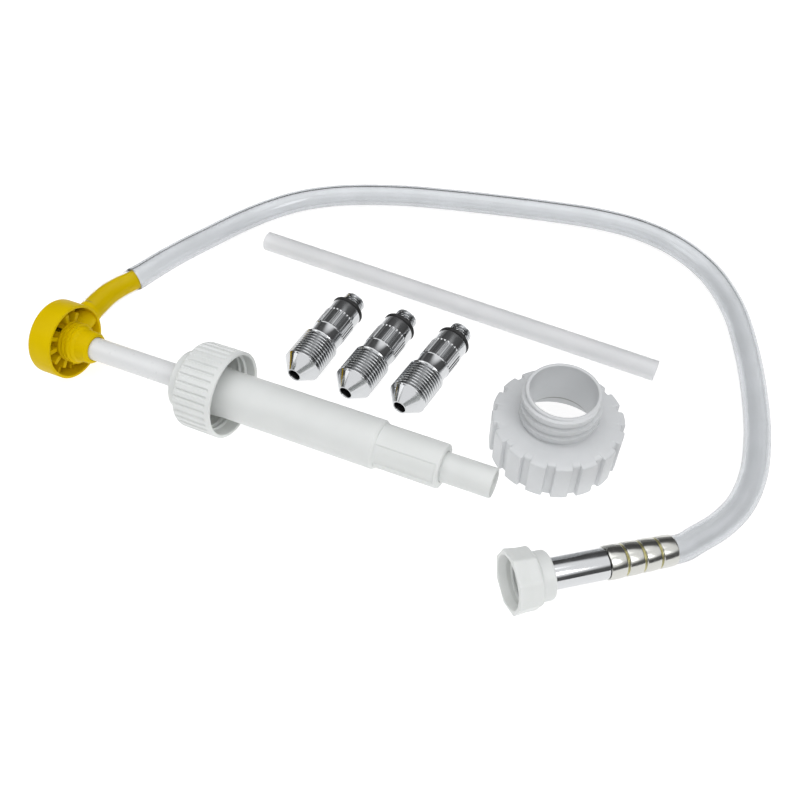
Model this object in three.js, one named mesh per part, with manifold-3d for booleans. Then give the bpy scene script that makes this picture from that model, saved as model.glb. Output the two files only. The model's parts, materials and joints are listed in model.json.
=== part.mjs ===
// A gear oil hand pump laid out flat with its fittings: head, rod, barrel and screw collar, a clear
// hose with a crimped fitting, a dip tube, a bottle adapter ring and three threaded filler adapters.
// Millimetres, +Z up. The pump's axis runs along +X, from the head to the foot of the barrel.
import * as THREE from "three";
import { mergeVertices } from "three/addons/utils/BufferGeometryUtils.js";
import Module from "manifold-3d";

const wasm = await Module();
wasm.setup();

// ---- Driving dimensions -------------------------------------------------------------------------
const GAP = 0.3; // between two pieces that touch
const ROUND = 32; // sides of a large turned piece
const SMALL_ROUND = 24; // sides of a small turned piece

// The pump: stations along its axis, counted from the collar's open rim
const PUMP_PLACE = [-65.8, -46.8, 22];
const PUMP_TILT = THREE.MathUtils.degToRad(1.51); // it rests on the head's drum and on the wider collar
const HEAD = { back: -106.6, rim: -93.2, radius: 19.25, wall: 1.4, floor: 2 };
const HEAD_RIB = { count: 12, thickness: 1.4, sink: 6.6 }; // sink: how far it stops short of the rim
const BOSS = { front: -80.6, radius: 8, rootRadius: 9.3, rootFront: -88.8 };
const LOCK_THREAD = { radius: 10.1, start: -96, pitch: 2.4, turns: 3 };
const SPOUT = { radius: 3.9, bore: 2.6, rootRadius: 6, rootLength: 20.6 };
const SPOUT_LINE = [
  [-100.2, 3, 0],
  [-100.2, 12, 0.2],
  [-100.2, 21.5, 0.4],
  [-100, 29, 0.5],
  [-99.3, 36.5, 0.5],
  [-97, 44, 0.3],
  [-93.6, 52, -0.1],
];
const SPOUT_BORE_END = [-92.9, 53.4, -0.2];
const HEAD_SOCKET_DEPTH = 15; // how deep the rod sits in the boss
const ROD = { radius: 5.85, bore: 2.6, ballBore: 4, inner: -10, ballStep: -36.5 };
const STEM = { radius: 3.5, plugRadius: 3.7, plugEnd: -30, flangeRadius: 8.5, bore: 1.8, foot: 3 };
const PISTON = { start: -7, end: 1, radius: 9.6, bore: 3.8 };
const COLLAR = { length: 21, radius: 21.5, bore: 19.7, top: 2.3 };
const FLUTE = { count: 36, width: 0.9, depth: 0.6, band: 2.6 };
const COLLAR_RING = { back: -27.5, radius: 14.8, bore: 10.4 };
const FLANGE = { start: -18.4, end: -16.2, radius: 17.8 };
const BARREL = { radius: 11.7, bore: 9.9, step: 77.4, tip: 131.5, tipRadius: 6.95 };
const FOOT = { radius: 10.4, end: 108.2 };
const GUIDE = { flangeRadius: 11.2, seat: -18.4, inner: -10.2, bodyRadius: 9.6, bore: 6.15, floor: 3 };
const GUIDE_CUP = 8.75; // inner radius of the cup that holds the rod's seal
const INLET = { cage: 72, cageEnd: 74, chamber: 4.6, seat: 82, seatBore: 2.4, seatEnd: 84.2 };
const TIP_SOCKET = { start: 106, radius: 5.8 };
const INLET_BALL = { radius: 4, place: 80.3 };
const OUTLET_BALL = { radius: 3, place: -32.8 };
const SPRING = { radius: 7.4, wire: 0.6, turns: 9, start: 3.3, end: 71.7 };

// The hose and its fitting
const HOSE = { radius: 6.25, bore: 4.8, sides: 10, steps: 34 };
const FITTING_PLACE = [144.9, -36.4, 8.2]; // the ferrule's mouth, where the hose goes in
const FITTING_HEADING = THREE.MathUtils.degToRad(218.7);
const FITTING_RISE = THREE.MathUtils.degToRad(4.6);
const FERRULE = { length: 32, mouthRadius: 6.8, lipRadius: 7.4, bore: 5.95, bands: 4, groove: 0.75 };
const PIPE = { tail: 2.5, tailRadius: 4.4, shoulder: 32.3, radius: 6.9, bore: 3 };
const PIPE_FLANGE = { start: 60.6, end: 62.8, radius: 8.6 };
const NUT = { start: 58, ringEnd: 64.5, ringRadius: 10.7, end: 75.8, corner: 14.4, bore: 10.3 };
const NUT_RECESS = { start: 60.3, end: 65, radius: 9.2 }; // holds the pipe's flange and the washer

// The loose fittings
const DIP = { start: [-119.5, 76.8], end: [114.1, 67.1], radius: 5.5, bore: 4.4 };
const ADAPTER_PLACE = [79.4, 4];
const ADAPTER = { radius: 31.1, height: 21.5, bore: 15.6, rim: 40, cavity: 27.4, roof: 17.5 };
const NECK = { radius: 17.3, thread: 18.4, start: 22.9, pitch: 5.4 };
const NOTCH = { count: 16, width: 4.2, depth: 2, start: -1, end: 23 };
const FILLERS = [
  { nose: [-52.1, -14.5], heading: 86 },
  { nose: [-23.2, -14.6], heading: 84 },
  { nose: [5.1, -12.3], heading: 82 },
];
const FILLER = { length: 61.5, nose: 3.9, bore: 3, thread: 10, threadStart: 7.3, threadEnd: 25, body: 8.7 };
const KNURL = { start: 33, end: 44.5, radius: 8.9 };
const FILLER_NECK = { start: 51.7, core: 5.2, thread: 6, oRing: 53.2, wire: 1.1 };
const FILLER_SIDES = 18;

// ---- Materials ----------------------------------------------------------------------------------
function paint(color, roughness, metalness = 0) {
  return new THREE.MeshStandardMaterial({ color, roughness, metalness });
}
const YELLOW = paint(0xe2c400, 0.4);
const WHITE = paint(0xe9ebea, 0.45);
const ROD_WHITE = paint(0xe4e9ec, 0.35);
const GREY_WHITE = paint(0xd8dadb, 0.5);
const MILKY = paint(0xd5d8d8, 0.35);
const CLEAR = paint(0xcdd2d5, 0.15);
const CHROME = paint(0xc9cccf, 0.12, 1);
const ZINC = paint(0xb4b49a, 0.3, 1);
const STEEL = paint(0xa9adb0, 0.25, 1);
const BLACK = paint(0x151515, 0.6);
const DARK_RUBBER = paint(0x2b2b2b, 0.7);

// ---- Helpers ------------------------------------------------------------------------------------
const v2 = (points) => points.map(([along, radius]) => new THREE.Vector2(radius, along));

// A turned piece on the X axis. points are [station along X, radius], from the axis back to the axis,
// or round a ring and back to the first point.
function turned(points, sides = ROUND) {
  const lathe = new THREE.LatheGeometry(v2(points), sides);
  return lathe.rotateZ(-Math.PI / 2);
}

const ring = (points, sides) => turned([...points, points[0]], sides);

const tubeProfile = (start, end, inner, outer) => [
  [start, inner],
  [start, outer],
  [end, outer],
  [end, inner],
];

function solid(geometry) {
  const bare = geometry.clone();
  bare.deleteAttribute("normal");
  bare.deleteAttribute("uv");
  const merged = mergeVertices(bare, 1e-3);
  const vertProperties = merged.attributes.position.array;
  const triVerts = new Uint32Array(merged.index.array);
  return new wasm.Manifold(new wasm.Mesh({ numProp: 3, vertProperties, triVerts }));
}

function fromSolid(body) {
  const mesh = body.getMesh();
  const geometry = new THREE.BufferGeometry();
  geometry.setAttribute("position", new THREE.BufferAttribute(new Float32Array(mesh.vertProperties), 3));
  geometry.setIndex([...mesh.triVerts]);
  const flat = geometry.toNonIndexed();
  flat.computeVertexNormals();
  return flat;
}

const joined = (shapes) => fromSolid(shapes.map(solid).reduce((sum, next) => sum.add(next)));

function cut(shape, tools) {
  return fromSolid(tools.map(solid).reduce((left, tool) => left.subtract(tool), solid(shape)));
}

function curveThrough(points) {
  return new THREE.CatmullRomCurve3(points.map((point) => new THREE.Vector3(...point)));
}

// A round bar of one radius along a curve
function rodAlong(extrudePath, radius, steps) {
  const section = new THREE.Shape().absarc(0, 0, radius, 0, 2 * Math.PI);
  return new THREE.ExtrudeGeometry(section, { extrudePath, steps, curveSegments: 8 });
}

function piece(group, name, geometry, material) {
  const mesh = new THREE.Mesh(geometry, material);
  mesh.name = name;
  group.add(mesh);
  return mesh;
}

// Plain V crests that stand for a thread: points that rise from one radius to another and come back
function crests(start, pitch, turns, low, high) {
  const points = [[start, low]];
  for (let turn = 0; turn < turns; turn += 1) {
    points.push([start + (turn + 0.5) * pitch, high]);
    points.push([start + (turn + 1) * pitch, low]);
  }
  return points;
}

// A block that lies along X at a given angle round the axis, for ribs, flutes and notches
function radialBlock(start, end, inner, outer, width, angle) {
  const block = new THREE.BoxGeometry(end - start, width, outer - inner);
  block.translate((start + end) / 2, 0, (inner + outer) / 2);
  return block.rotateX(angle);
}

// Angles spread evenly round the axis
function roundAngles(count, offset = 0) {
  return Array.from({ length: count }, (_, i) => offset + (i * 2 * Math.PI) / count);
}

const whole = new THREE.Group();
const pump = new THREE.Group();
pump.position.set(...PUMP_PLACE);
pump.rotation.y = -PUMP_TILT;
whole.add(pump);

// ---- Pump head: open drum, ribs, boss with its lock thread, and the hose spout ------------------
function pumpHead() {
  const drumFloor = HEAD.back + HEAD.floor;
  const socketFloor = BOSS.front - HEAD_SOCKET_DEPTH;
  const [passage] = SPOUT_LINE[0];
  const drum = turned([
    [HEAD.back, 0],
    [HEAD.back, HEAD.radius - 2.5],
    [HEAD.back + 0.8, HEAD.radius - 0.8],
    [HEAD.back + 2.5, HEAD.radius],
    [HEAD.rim, HEAD.radius],
    [HEAD.rim, HEAD.radius - HEAD.wall],
    [drumFloor, HEAD.radius - HEAD.wall],
    [drumFloor, 0],
  ]);
  const boss = turned([
    [drumFloor - 1, 0],
    [drumFloor - 1, BOSS.rootRadius],
    ...crests(LOCK_THREAD.start, LOCK_THREAD.pitch, LOCK_THREAD.turns, BOSS.rootRadius, LOCK_THREAD.radius),
    [BOSS.rootFront + 0.6, BOSS.rootRadius],
    [BOSS.rootFront + 2, BOSS.radius + 0.4],
    [BOSS.front, BOSS.radius],
    [BOSS.front, 0],
  ]);
  const { count, thickness, sink } = HEAD_RIB;
  const ribs = roundAngles(count, Math.PI / count).map((angle) =>
    radialBlock(drumFloor - 1, HEAD.rim - sink, 4, HEAD.radius - HEAD.wall / 2, thickness, angle),
  );
  const spoutLine = curveThrough(SPOUT_LINE);
  const spout = rodAlong(spoutLine, SPOUT.radius, 8);
  const spoutBore = rodAlong(curveThrough([...SPOUT_LINE, SPOUT_BORE_END]), SPOUT.bore, 8);
  const spoutRoot = turned(
    [
      [0, 0],
      [0, SPOUT.rootRadius],
      [SPOUT.rootLength - 0.8, SPOUT.rootRadius],
      [SPOUT.rootLength, SPOUT.radius],
      [SPOUT.rootLength, 0],
    ],
    SMALL_ROUND,
  );
  spoutRoot.rotateZ(Math.PI / 2);
  spoutRoot.translate(passage, 0, 0);
  // The spout's web fills the pocket between the two ribs beside it.
  const web = radialBlock(drumFloor - 1, passage, 4, HEAD.radius - HEAD.wall / 2, 10, -Math.PI / 2);
  const rodSocket = turned(
    [
      [passage - SPOUT.bore, 0],
      [passage - SPOUT.bore, SPOUT.bore],
      [socketFloor, SPOUT.bore],
      [socketFloor, ROD.radius + GAP],
      [BOSS.front + 1, ROD.radius + GAP],
      [BOSS.front + 1, 0],
    ],
    ROUND,
  );
  return cut(joined([drum, boss, spout, spoutRoot, web, ...ribs]), [spoutBore, rodSocket]);
}
piece(pump, "pump_head", pumpHead(), YELLOW);

// ---- Rod, stem and piston -----------------------------------------------------------------------
const rodStart = BOSS.front - HEAD_SOCKET_DEPTH + GAP;
const rod = ring(
  [
    [rodStart, ROD.bore],
    [rodStart, ROD.radius],
    [ROD.inner, ROD.radius],
    [ROD.inner, ROD.ballBore],
    [ROD.ballStep, ROD.ballBore],
    [ROD.ballStep, ROD.bore],
  ],
  SMALL_ROUND,
);
piece(pump, "piston_rod", rod, ROD_WHITE);

const stem = ring(
  [
    [STEM.plugEnd, STEM.bore],
    [STEM.plugEnd, STEM.plugRadius],
    [ROD.inner + GAP, STEM.plugRadius],
    [ROD.inner + GAP, STEM.flangeRadius],
    [PISTON.start - GAP, STEM.flangeRadius],
    [PISTON.start - GAP, STEM.radius],
    [PISTON.end + GAP, STEM.radius],
    [PISTON.end + GAP, STEM.flangeRadius - 2],
    [STEM.foot, STEM.flangeRadius - 2],
    [STEM.foot, STEM.bore],
  ],
  SMALL_ROUND,
);
piece(pump, "piston_stem", stem, WHITE);

// The seal has a lip at each end and a waist between them.
const pistonMiddle = (PISTON.start + PISTON.end) / 2;
const pistonSeal = ring(
  [
    [PISTON.start, PISTON.bore],
    [PISTON.start, PISTON.radius],
    [PISTON.start + 1.5, PISTON.radius],
    [pistonMiddle, PISTON.radius - 0.8],
    [PISTON.end - 1.5, PISTON.radius],
    [PISTON.end, PISTON.radius],
    [PISTON.end, PISTON.bore],
  ],
  SMALL_ROUND,
);
piece(pump, "piston_seal", pistonSeal, DARK_RUBBER);

function ball(radius, station) {
  const sphere = new THREE.SphereGeometry(radius, 12, 8);
  return sphere.translate(station, 0, 0);
}
piece(pump, "outlet_ball", ball(OUTLET_BALL.radius, OUTLET_BALL.place), STEEL);
piece(pump, "inlet_ball", ball(INLET_BALL.radius, INLET_BALL.place), STEEL);

// ---- Return spring between the stem's foot and the valve cage -----------------------------------
class SpringLine extends THREE.Curve {
  getPoint(t) {
    const angle = t * SPRING.turns * 2 * Math.PI;
    const run = SPRING.end - SPRING.start - 2 * SPRING.wire;
    const x = SPRING.start + SPRING.wire + t * run;
    return new THREE.Vector3(x, SPRING.radius * Math.cos(angle), SPRING.radius * Math.sin(angle));
  }
}
const wireSection = new THREE.Shape().absarc(0, 0, SPRING.wire * 0.9, 0, 2 * Math.PI);
const springShape = new THREE.ExtrudeGeometry(wireSection, {
  extrudePath: new SpringLine(),
  steps: SPRING.turns * 8,
  curveSegments: 2,
});
piece(pump, "return_spring", springShape, STEEL);

// ---- Barrel: flange, cylinder, foot with the inlet seat, and the dip tube's socket --------------
function pumpBarrel() {
  return ring([
    [FLANGE.start, GUIDE.flangeRadius + GAP],
    [FLANGE.start, FLANGE.radius],
    [FLANGE.end, FLANGE.radius],
    [FLANGE.end, BARREL.radius + 0.8],
    [FLANGE.end + 1, BARREL.radius],
    [BARREL.step - 1, BARREL.radius],
    [BARREL.step, BARREL.radius - 1],
    [BARREL.step, FOOT.radius],
    [FOOT.end - 3, FOOT.radius],
    [FOOT.end - 0.8, FOOT.radius - 1.2],
    [FOOT.end, BARREL.tipRadius + 0.6],
    [FOOT.end + 0.6, BARREL.tipRadius],
    [BARREL.tip, BARREL.tipRadius],
    [BARREL.tip, TIP_SOCKET.radius],
    [TIP_SOCKET.start, TIP_SOCKET.radius],
    [TIP_SOCKET.start, INLET.seatBore],
    [INLET.seatEnd, INLET.seatBore],
    [INLET.seat, INLET.chamber],
    [INLET.cageEnd + GAP, INLET.chamber],
    [INLET.cageEnd + GAP, BARREL.bore],
    [GUIDE.seat + 2.5, BARREL.bore],
    [GUIDE.seat + 2.5, GUIDE.flangeRadius + GAP],
  ]);
}
piece(pump, "pump_barrel", pumpBarrel(), WHITE);

// The guide is a cup that opens towards the head, with the rod's seal on its floor.
const guideFloor = GUIDE.inner - GUIDE.floor;
const rodGuide = ring([
  [GUIDE.seat, GUIDE_CUP],
  [GUIDE.seat, GUIDE.flangeRadius],
  [GUIDE.seat + 2.2, GUIDE.flangeRadius],
  [GUIDE.seat + 2.2, GUIDE.bodyRadius],
  [GUIDE.inner, GUIDE.bodyRadius],
  [GUIDE.inner, GUIDE.bore],
  [guideFloor, GUIDE.bore],
  [guideFloor, GUIDE_CUP],
]);
piece(pump, "rod_guide", rodGuide, WHITE);
const rodSeal = ring(tubeProfile(guideFloor - 2.3, guideFloor - GAP, GUIDE.bore, GUIDE_CUP - GAP));
piece(pump, "rod_seal", rodSeal, BLACK);

const cage = ring(tubeProfile(INLET.cage, INLET.cageEnd, 3.2, BARREL.bore - GAP), SMALL_ROUND);
piece(pump, "valve_cage", cage, WHITE);

const bottleGasket = ring(tubeProfile(FLANGE.end + GAP, FLANGE.end + 2, BARREL.radius + 1.2, FLANGE.radius));
piece(pump, "bottle_gasket", bottleGasket, DARK_RUBBER);

// ---- Screw collar -------------------------------------------------------------------------------
function screwCollar() {
  const top = -COLLAR.length;
  const shell = ring(
    [
      [COLLAR_RING.back, COLLAR_RING.bore],
      [COLLAR_RING.back, COLLAR_RING.radius - 0.8],
      [COLLAR_RING.back + 0.8, COLLAR_RING.radius],
      [top, COLLAR_RING.radius],
      [top, COLLAR.radius - 1],
      [top + 1, COLLAR.radius],
      [0, COLLAR.radius],
      [0, COLLAR.bore],
      ...crests(-10, 3, 2, COLLAR.bore, COLLAR.bore - 0.9).reverse(),
      [top + COLLAR.top, COLLAR.bore],
      [top + COLLAR.top, COLLAR_RING.bore],
    ],
    FLUTE.count * 2,
  );
  const { count, width, depth, band } = FLUTE;
  const flutes = roundAngles(count).map((angle) =>
    radialBlock(top - 1, -band, COLLAR.radius - depth, COLLAR.radius + 1, width, angle),
  );
  return cut(shell, flutes);
}
piece(pump, "screw_collar", screwCollar(), WHITE);

// ---- Hose, from the head's spout to the ferrule's mouth -----------------------------------------
// It slips over the spout, comes down to the floor and lies on it.
const ROUTE = [
  [-166, -25, 19.8],
  [-165.8, -17, 19.9],
  [-165.1, -9.5, 19.8],
  [-162.8, -2, 19.7],
  [-159.6, 6, 19.4],
  [-157.3, 14.5, 18.9],
  [-155.3, 26, 17.4],
  [-152.9, 42, 14.2],
  [-148.6, 63, 10],
  [-142, 84, 7.4],
  [-132.4, 102, 6.6],
  [-119.6, 117.5, 6.55],
  [-100, 132.2, 6.55],
  [-66, 147.4, 6.55],
  [-36, 156.2, 6.55],
  [-6, 163.6, 6.55],
  [24, 170.2, 6.55],
  [52, 175, 6.55],
  [78, 175.2, 6.55],
  [102, 168.5, 6.55],
  [124, 153.2, 6.55],
  [141.4, 129.4, 6.55],
  [153.8, 100, 6.55],
  [163.4, 68, 6.55],
  [168.8, 42, 6.55],
  [170.6, 20, 6.55],
  [168, 0.5, 6.6],
  [161.6, -14.5, 6.8],
  [153.6, -26.4, 7.3],
];
const heading = new THREE.Vector3(
  Math.cos(FITTING_HEADING) * Math.cos(FITTING_RISE),
  Math.sin(FITTING_HEADING) * Math.cos(FITTING_RISE),
  Math.sin(FITTING_RISE),
);
const ferruleMouth = new THREE.Vector3(...FITTING_PLACE);
const routePoints = ROUTE.map((point) => new THREE.Vector3(...point));
routePoints.push(ferruleMouth.clone().addScaledVector(heading, -5));
routePoints.push(ferruleMouth.clone().addScaledVector(heading, -GAP));
const hoseLine = new THREE.CatmullRomCurve3(routePoints, false, "centripetal");
const hoseSection = new THREE.Shape().absarc(0, 0, HOSE.radius, 0, 2 * Math.PI);
hoseSection.holes.push(new THREE.Path().absarc(0, 0, HOSE.bore, 0, 2 * Math.PI, true));
const hoseShape = new THREE.ExtrudeGeometry(hoseSection, {
  extrudePath: hoseLine,
  steps: HOSE.steps,
  curveSegments: HOSE.sides / 2,
});
piece(whole, "hose_tube", hoseShape, CLEAR);

// ---- Crimped fitting: its own X axis points from the ferrule's mouth to the nut's open end ------
const fitting = new THREE.Group();
fitting.position.copy(ferruleMouth);
fitting.rotation.set(0, -FITTING_RISE, FITTING_HEADING, "ZYX");
whole.add(fitting);

function ferruleOutline() {
  const points = [];
  const band = FERRULE.length / FERRULE.bands;
  for (let i = 0; i < FERRULE.bands; i += 1) {
    const radiusAt = (x) => THREE.MathUtils.lerp(FERRULE.mouthRadius, FERRULE.lipRadius, x / FERRULE.length);
    const start = i * band;
    const end = start + band;
    points.push([start, radiusAt(start) - (i ? FERRULE.groove : 0.3)]);
    points.push([start + 1.3, radiusAt(start + 1.3)]);
    points.push([end - (i === FERRULE.bands - 1 ? 0 : 1.3), radiusAt(end)]);
  }
  return points;
}
const ferruleProfile = [[0, FERRULE.bore], ...ferruleOutline(), [FERRULE.length, FERRULE.bore]];
piece(fitting, "hose_ferrule", ring(ferruleProfile, SMALL_ROUND), ZINC);

const HOSE_END = { start: 0.4, end: PIPE.shoulder - 2 };
const gripped = tubeProfile(HOSE_END.start, HOSE_END.end, PIPE.tailRadius + GAP, FERRULE.bore - GAP);
piece(fitting, "hose_end", ring(gripped, SMALL_ROUND), CLEAR);

const pipe = ring(
  [
    [PIPE.tail, PIPE.bore],
    [PIPE.tail, PIPE.tailRadius - 0.5],
    [PIPE.tail + 1, PIPE.tailRadius],
    [PIPE.shoulder, PIPE.tailRadius],
    [PIPE.shoulder, PIPE.radius],
    [PIPE_FLANGE.start, PIPE.radius],
    [PIPE_FLANGE.start, PIPE_FLANGE.radius],
    [PIPE_FLANGE.end, PIPE_FLANGE.radius],
    [PIPE_FLANGE.end, PIPE.bore],
  ],
  SMALL_ROUND,
);
piece(fitting, "fitting_pipe", pipe, CHROME);

function unionNut() {
  const back = ring(
    [
      [NUT.start, PIPE.radius + GAP],
      [NUT.start, NUT.ringRadius - 0.8],
      [NUT.start + 0.8, NUT.ringRadius],
      [NUT_RECESS.end, NUT.ringRadius],
      [NUT_RECESS.end, NUT_RECESS.radius],
      [NUT_RECESS.start, NUT_RECESS.radius],
      [NUT_RECESS.start, PIPE.radius + GAP],
    ],
    SMALL_ROUND,
  );
  // An octagon with rounded corners, made by crossing an eight-sided prism with a turned blank
  const prism = new THREE.CylinderGeometry(NUT.corner, NUT.corner, NUT.end - NUT.ringEnd, 8);
  prism.rotateZ(-Math.PI / 2);
  prism.rotateX(Math.PI / 8);
  prism.translate((NUT.end + NUT.ringEnd) / 2, 0, 0);
  const blank = turned(
    [
      [NUT.ringEnd, 0],
      [NUT.ringEnd, NUT.corner - 1.4],
      [NUT.ringEnd + 1.2, NUT.corner - 0.4],
      [NUT.end - 0.8, NUT.corner - 0.4],
      [NUT.end, NUT.corner - 1],
      [NUT.end, 0],
    ],
    ROUND,
  );
  const hole = turned([
    [NUT.ringEnd - 1, 0],
    [NUT.ringEnd - 1, NUT_RECESS.radius],
    [NUT_RECESS.end, NUT_RECESS.radius],
    [NUT_RECESS.end, NUT.bore],
    [NUT.end + 1, NUT.bore],
    [NUT.end + 1, 0],
  ]);
  const octagon = solid(prism).intersect(solid(blank)).subtract(solid(hole));
  return fromSolid(octagon.add(solid(back)));
}
piece(fitting, "union_nut", unionNut(), WHITE);

const washerStart = PIPE_FLANGE.end + GAP;
const washerProfile = tubeProfile(washerStart, washerStart + 1.6, PIPE.bore + 0.6, NUT_RECESS.radius - GAP);
piece(fitting, "nut_washer", ring(washerProfile, SMALL_ROUND), DARK_RUBBER);

// ---- Dip tube -----------------------------------------------------------------------------------
const dipStart = new THREE.Vector2(...DIP.start);
const dipRun = new THREE.Vector2(...DIP.end).sub(dipStart);
const dip = ring(tubeProfile(0, dipRun.length(), DIP.bore, DIP.radius), SMALL_ROUND);
const dipMesh = piece(whole, "dip_tube", dip, MILKY);
dipMesh.position.set(dipStart.x, dipStart.y, DIP.radius);
dipMesh.rotation.z = dipRun.angle();

// ---- Bottle adapter ring: notched disc with a threaded neck -------------------------------------
const adapter = new THREE.Group();
adapter.position.set(...ADAPTER_PLACE, 0);
adapter.rotation.y = -Math.PI / 2;
whole.add(adapter);

function bottleAdapter() {
  const shell = ring(
    [
      [0, ADAPTER.cavity],
      [0, ADAPTER.radius - 0.5],
      [0.5, ADAPTER.radius],
      [ADAPTER.height - 1.2, ADAPTER.radius],
      [ADAPTER.height, ADAPTER.radius - 1.2],
      [ADAPTER.height, NECK.radius],
      ...crests(NECK.start, NECK.pitch, 3, NECK.radius, NECK.thread),
      [ADAPTER.rim - 0.6, NECK.radius],
      [ADAPTER.rim, NECK.radius - 0.5],
      [ADAPTER.rim, ADAPTER.bore],
      [ADAPTER.roof, ADAPTER.bore],
      [ADAPTER.roof, ADAPTER.cavity],
    ],
    48,
  );
  const { count, width, depth, start, end } = NOTCH;
  const notches = roundAngles(count, Math.PI / count).map((angle) =>
    radialBlock(start, end, ADAPTER.radius - depth, ADAPTER.radius + 2, width, angle),
  );
  return cut(shell, notches);
}
piece(adapter, "bottle_adapter", bottleAdapter(), GREY_WHITE);
const GASKET = { start: ADAPTER.roof - 1.8, end: ADAPTER.roof - GAP };
const gasketProfile = tubeProfile(GASKET.start, GASKET.end, ADAPTER.bore + 1, ADAPTER.cavity - GAP);
piece(adapter, "adapter_gasket", ring(gasketProfile, ROUND), DARK_RUBBER);

// ---- Filler adapters: cone nose, coarse thread, knurled grip, O-ring and small thread -----------
function fillerAdapter() {
  return ring(
    [
      [0, FILLER.bore],
      [0, FILLER.nose],
      ...crests(FILLER.threadStart, 3.54, 5, FILLER.thread - 1, FILLER.thread),
      [FILLER.threadEnd + 0.8, FILLER.body],
      [KNURL.start, FILLER.body],
      [KNURL.start + 0.2, KNURL.radius],
      [KNURL.end - 0.2, KNURL.radius],
      [KNURL.end, FILLER.body],
      [FILLER_NECK.start, FILLER.body],
      [FILLER_NECK.start, FILLER_NECK.core],
      ...crests(FILLER_NECK.start + 3, 3.2, 2, FILLER_NECK.core, FILLER_NECK.thread),
      [FILLER.length, FILLER_NECK.core],
      [FILLER.length, FILLER.bore],
    ],
    FILLER_SIDES,
  );
}

function oRing() {
  const { oRing: middle, wire, core } = FILLER_NECK;
  const radius = (FILLER.body + core + GAP) / 2;
  const points = roundAngles(6).map((angle) => [
    middle + wire * Math.cos(angle),
    radius - (radius - core - GAP) * Math.sin(angle),
  ]);
  return ring(points, FILLER_SIDES);
}

FILLERS.forEach(({ nose, heading: degrees }, i) => {
  const holder = new THREE.Group();
  holder.position.set(...nose, FILLER.thread);
  holder.rotation.z = THREE.MathUtils.degToRad(degrees);
  whole.add(holder);
  piece(holder, `filler_adapter_${i + 1}`, fillerAdapter(), CHROME);
  piece(holder, `adapter_o_ring_${i + 1}`, oRing(), BLACK);
});

// ---- The origin: on the floor, under the middle of the pump and its loose fittings --------------
const ON_THE_HOSE = ["hose_tube", "hose_end", "hose_ferrule", "fitting_pipe", "union_nut", "nut_washer"];
whole.updateMatrixWorld(true);
const footprint = new THREE.Box3();
whole.traverse((object) => {
  if (object.isMesh && !ON_THE_HOSE.includes(object.name)) footprint.expandByObject(object, true);
});
const middle = footprint.getCenter(new THREE.Vector3());
whole.position.set(-middle.x, -middle.y, -footprint.min.z);

export default whole;
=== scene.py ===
# %% [markdown]
# # A hand pump for gear oil, laid out with its fittings
# A palm head, a sprung rod, a barrel with a screw collar, a clear hose with a crimped fitting, a dip
# tube, a bottle adapter ring and three chromed filler adapters. Nearly all of them are turned or
# moulded round an axis, so one function that spins an outline does most of the modelling. The packed
# model is the fixed frame: every piece here is placed from its boxes and joints.

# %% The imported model
import json
import math
import bpy
from mathutils import Matrix, Vector


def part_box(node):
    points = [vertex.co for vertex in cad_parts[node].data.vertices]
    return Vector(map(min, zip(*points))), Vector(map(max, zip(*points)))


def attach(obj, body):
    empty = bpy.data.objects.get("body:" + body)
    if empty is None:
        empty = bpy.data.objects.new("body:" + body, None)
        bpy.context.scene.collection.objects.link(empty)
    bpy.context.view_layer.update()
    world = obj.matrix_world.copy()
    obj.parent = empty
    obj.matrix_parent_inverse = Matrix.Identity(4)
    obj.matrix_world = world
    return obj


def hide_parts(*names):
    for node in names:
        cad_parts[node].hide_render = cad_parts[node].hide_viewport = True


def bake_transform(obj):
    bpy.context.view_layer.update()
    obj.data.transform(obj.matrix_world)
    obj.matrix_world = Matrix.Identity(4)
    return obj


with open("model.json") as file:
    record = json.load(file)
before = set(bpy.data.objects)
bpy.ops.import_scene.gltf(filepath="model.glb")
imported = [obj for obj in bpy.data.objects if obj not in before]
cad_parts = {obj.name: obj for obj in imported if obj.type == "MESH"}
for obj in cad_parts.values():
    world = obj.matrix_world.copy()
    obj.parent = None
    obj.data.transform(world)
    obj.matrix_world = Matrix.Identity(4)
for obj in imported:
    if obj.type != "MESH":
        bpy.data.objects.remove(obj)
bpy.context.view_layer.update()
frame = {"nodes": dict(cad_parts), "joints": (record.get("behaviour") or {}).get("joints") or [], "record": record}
MM = 0.001
TURN = 2 * math.pi

# %% [markdown]
# The pump lies along X and leans up a little towards its tip, because it rests on the head and on the
# wider collar. Its own stations are counted from the collar's open rim, where the head's joint sits.
# The fitting at the hose's end has its own axis, which is the union nut's joint. A matrix for each
# place lets a piece be drawn along its own X axis.

# %% Places
def centre_of(node):
    low, high = (Vector(corner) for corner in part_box(node))
    return (low + high) / 2


def place_along(origin, direction, up=(0, 0, 1)):
    """The matrix that puts local X along direction, with local Z as near to up as it can be."""
    x = Vector(direction).normalized()
    y = Vector(up).cross(x).normalized()
    z = x.cross(y)
    matrix = Matrix((x, y, z)).transposed().to_4x4()
    matrix.translation = origin
    return matrix


def joint_named(name):
    return next(joint for joint in frame["joints"] if joint["name"] == name)


head_joint = joint_named("head_turn")
pump_origin = Vector(head_joint["pos_m"])
PUMP = place_along(pump_origin, head_joint["axis"])

nut_joint = joint_named("nut_turn")
FITTING_AXIS = Vector(nut_joint["axis"]).normalized()
NUT_JOINT_STATION = 60 * MM  # how far the nut's joint lies from the ferrule's mouth
ferrule_mouth = Vector(nut_joint["pos_m"]) - FITTING_AXIS * NUT_JOINT_STATION
FITTING = place_along(ferrule_mouth, FITTING_AXIS)

ring_centre = centre_of("bottle_adapter")
RING = place_along((ring_centre.x, ring_centre.y, 0), (0, 0, 1), up=(0, 1, 0))
print("pump origin", [round(v, 4) for v in pump_origin])
print("ferrule mouth", [round(v, 4) for v in ferrule_mouth])

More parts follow.
